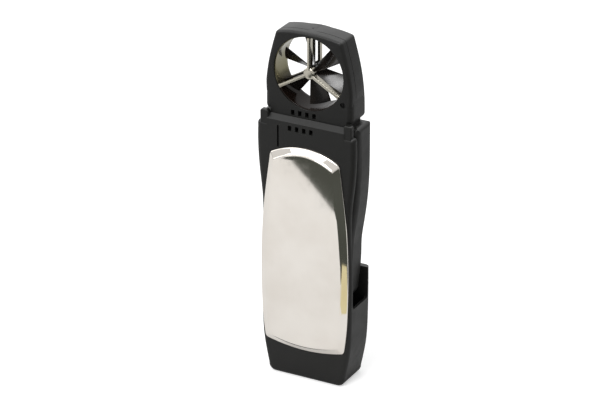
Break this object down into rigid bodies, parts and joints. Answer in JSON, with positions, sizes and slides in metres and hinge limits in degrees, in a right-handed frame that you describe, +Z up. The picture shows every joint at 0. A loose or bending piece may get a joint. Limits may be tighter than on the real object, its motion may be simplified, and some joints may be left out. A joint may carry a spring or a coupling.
{
  "type": "vane anemometer",
  "caption": "Pocket vane anemometer: black instrument with a vane head that slides out of a sheath with a polished plate and a cup at its foot.",
  "frame": {"origin": "middle of the bounding box in X and Y, at the flat underside of the cup", "axes": "+Z up along the instrument towards the vane head, -Y towards the polished plate, +X to the right seen from the plate"},
  "size_m": [0.05, 0.0234, 0.1714],
  "materials": {
    "black_plastic": "fine satin texture",
    "sheath_plastic": "fine satin texture, a little lighter",
    "mirror_steel": "polished stainless steel",
    "bright_plating": "bright plating",
    "vane_plating": "dark bright plating, thin blades",
    "steel": "plain steel",
    "spring_steel": "spring steel",
    "adhesive": "foam tape",
    "jewel": "red synthetic jewel",
    "magnet": "plated magnet",
    "board_green": "solder mask",
    "component_black": "moulded component",
    "sensor_white": "white sensor housing",
    "switch_metal": "pressed metal domes",
    "key_rubber": "moulded rubber key",
    "lcd_glass": "grey green display glass",
    "connector_rubber": "striped elastomer",
    "window_clear": "clear pane",
    "cell_steel": "nickel plated can"
  },
  "bodies": {
    "sheath": {"sheath_shell": "sheath_plastic", "mirror_plate": "mirror_steel", "plate_adhesive": "adhesive", "guide_rails": "component_black", "detent_spring": "spring_steel"},
    "wheel": {"vane_wheel": "vane_plating", "vane_shaft": "steel", "rotor_magnet": "magnet"},
    "power_key": {"power_button": "key_rubber"},
    "mode_key": {"mode_button": "key_rubber"},
    "hold_key": {"hold_button": "key_rubber"},
    "instrument": {"front_shell": "black_plastic", "rear_shell": "black_plastic", "tunnel_ring": "bright_plating", "front_bridge": "bright_plating", "rear_bridge": "bright_plating", "front_bearing": "jewel", "rear_bearing": "jewel", "cartridge_screws": "steel", "pickup_sensor": "component_black", "climate_sensor": "sensor_white", "circuit_board": "board_green", "processor_chip": "component_black", "dome_switches": "switch_metal", "lcd_module": "lcd_glass", "lcd_connector": "connector_rubber", "lcd_window": "window_clear", "coin_cell": "cell_steel", "battery_contacts": "spring_steel", "battery_cover": "black_plastic", "housing_screws": "steel"}
  },
  "joints": [
    {"name": "instrument_slide", "type": "slide", "parent": "sheath", "child": "instrument", "axis": [0, 0, -1], "range_m": [0, 0.032]},
    {"name": "vane_spin", "type": "hinge", "parent": "instrument", "child": "wheel", "pos_m": [0, 0.0006, 0.1519], "axis": [0, 1, 0], "continuous": true},
    {"name": "power_press", "type": "slide", "parent": "instrument", "child": "power_key", "axis": [0, -1, 0], "range_m": [0, 0.0007], "stiffness_N_per_m": 600},
    {"name": "mode_press", "type": "slide", "parent": "instrument", "child": "mode_key", "axis": [0, -1, 0], "range_m": [0, 0.0007], "stiffness_N_per_m": 600},
    {"name": "hold_press", "type": "slide", "parent": "instrument", "child": "hold_key", "axis": [0, -1, 0], "range_m": [0, 0.0007], "stiffness_N_per_m": 600}
  ]
}
